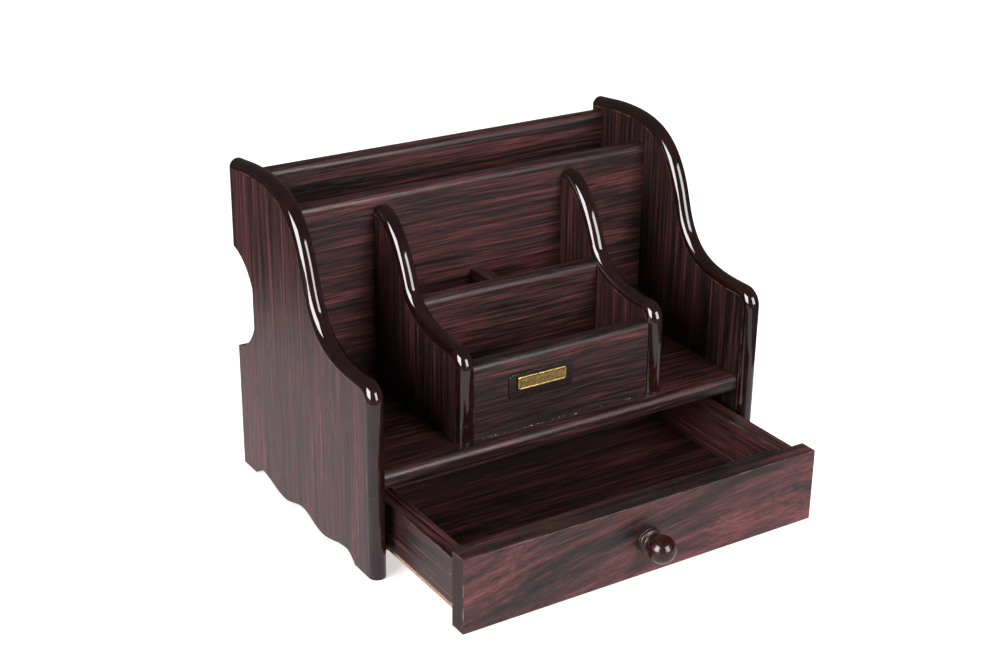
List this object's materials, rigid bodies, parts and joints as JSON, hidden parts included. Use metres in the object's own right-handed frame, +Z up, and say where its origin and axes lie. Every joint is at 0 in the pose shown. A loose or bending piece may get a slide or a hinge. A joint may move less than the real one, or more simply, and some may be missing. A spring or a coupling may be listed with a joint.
{
  "type": "desk organizer",
  "caption": "Wood-grain desk organizer with curved side panels, a rear phone slot, pen slots, a card tray, two open side bays and a drawer with a turned knob.",
  "frame": {"origin": "on the ground, under the middle of the whole object with its drawer half open", "axes": "+X to the right, +Y to the back, +Z up; the drawer opens toward -Y"},
  "size_m": [0.21, 0.2032, 0.1568],
  "materials": {
    "laminate": "satin dark rosewood wood-grain laminate on fibreboard, with the curved edges rounded and lacquered in high gloss",
    "hardboard": "thin hardboard, raw tan at its cut edges",
    "knob_wood": "turned hardwood, dark cherry high-gloss lacquer",
    "dowel_wood": "plain beech",
    "steel": "zinc-plated steel",
    "brass": "polished brass-coloured metal",
    "film": "glossy dark plastic film"
  },
  "bodies": {
    "case": {"back_dowel_left_1": "dowel_wood", "back_dowel_left_2": "dowel_wood", "back_dowel_right_1": "dowel_wood", "back_dowel_right_2": "dowel_wood", "back_panel": "laminate", "card_back": "laminate", "card_front": "laminate", "case_bottom": "hardboard", "divider_dowel_left_1": "dowel_wood", "divider_dowel_left_2": "dowel_wood", "divider_dowel_right_1": "dowel_wood", "divider_dowel_right_2": "dowel_wood", "partition_left": "laminate", "partition_right": "laminate", "partition_screw_left_1": "steel", "partition_screw_left_2": "steel", "partition_screw_right_1": "steel", "partition_screw_right_2": "steel", "pen_divider": "laminate", "plate_bar": "brass", "plate_base": "film", "rear_divider": "laminate", "shelf": "laminate", "shelf_dowel_left_1": "dowel_wood", "shelf_dowel_left_2": "dowel_wood", "shelf_dowel_right_1": "dowel_wood", "shelf_dowel_right_2": "dowel_wood", "side_panel_left": "laminate", "side_panel_right": "laminate"},
    "drawer": {"bottom_brad_left_1": "steel", "bottom_brad_left_2": "steel", "bottom_brad_left_3": "steel", "bottom_brad_right_1": "steel", "bottom_brad_right_2": "steel", "bottom_brad_right_3": "steel", "corner_brad_back_left_1": "steel", "corner_brad_back_left_2": "steel", "corner_brad_back_right_1": "steel", "corner_brad_back_right_2": "steel", "corner_brad_front_left_1": "steel", "corner_brad_front_left_2": "steel", "corner_brad_front_right_1": "steel", "corner_brad_front_right_2": "steel", "drawer_back": "laminate", "drawer_bottom": "hardboard", "drawer_front": "laminate", "drawer_inner_front": "laminate", "drawer_side_left": "laminate", "drawer_side_right": "laminate", "knob": "knob_wood", "knob_screw": "steel"}
  },
  "joints": [
    {"name": "drawer_slide", "type": "slide", "parent": "case", "child": "drawer", "axis": [0, -1, 0], "range_m": [-0.0607, 0.03]}
  ]
}
